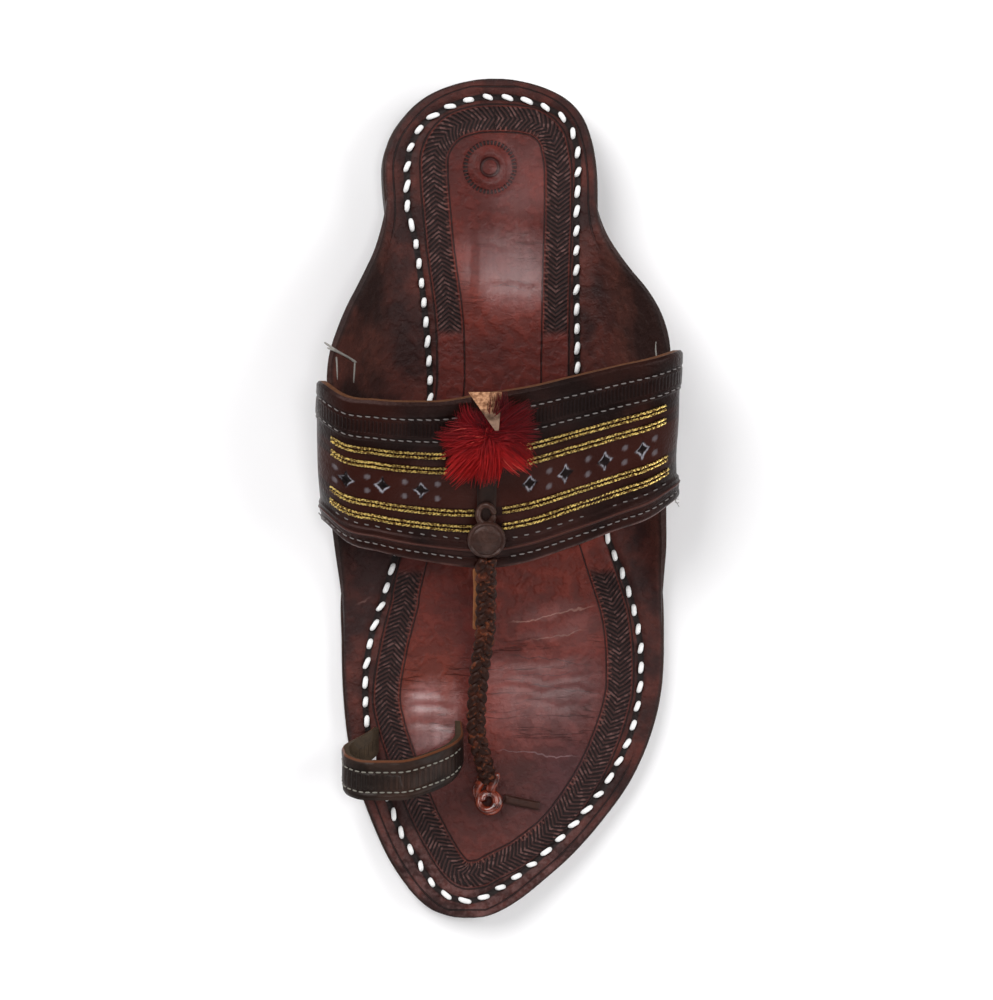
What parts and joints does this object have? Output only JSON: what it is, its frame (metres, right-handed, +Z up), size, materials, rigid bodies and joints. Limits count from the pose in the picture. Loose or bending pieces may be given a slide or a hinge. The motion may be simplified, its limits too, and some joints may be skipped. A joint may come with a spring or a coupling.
{
  "type": "kolhapuri sandal",
  "caption": "Left-foot leather sandal with side ears, a stitched instep band with pompom and gold cords, a plaited toe strip and a big-toe loop.",
  "frame": {"origin": "on the floor, under the middle of the sandal's bounding box", "axes": "+X to the outer side of the left foot, +Y from toe to heel, +Z up"},
  "size_m": [0.1199, 0.2811, 0.0732],
  "materials": {
    "outsole_leather": "dark brown bottom leather, matt and worn",
    "lift_leather": "black-brown stacked lifts, dull",
    "top_sole_leather": "oiled red-brown leather, mottled, stamped and stitched",
    "band_leather": "dark brown leather with stamped trims and gold cords",
    "tab_leather": "dark brown strip with a raw tan tip",
    "pompom_fibre": "crimson cut fibres",
    "button_leather": "dark brown covered button, satin",
    "braid_leather": "dark brown plaited strips",
    "knot_leather": "glossy red-brown rolled leather",
    "peg_leather": "black-brown strip",
    "loop_leather": "dark brown stitched strap, raw inside"
  },
  "bodies": {
    "root": {"outsole": "outsole_leather", "heel_lift_1": "lift_leather", "heel_lift_2": "lift_leather", "heel_lift_3": "lift_leather", "top_sole": "top_sole_leather", "instep_band": "band_leather", "tab": "tab_leather", "pompom": "pompom_fibre", "button": "button_leather", "braid": "braid_leather", "toe_knot": "knot_leather", "peg_strip": "peg_leather", "toe_loop": "loop_leather"}
  },
  "joints": []
}
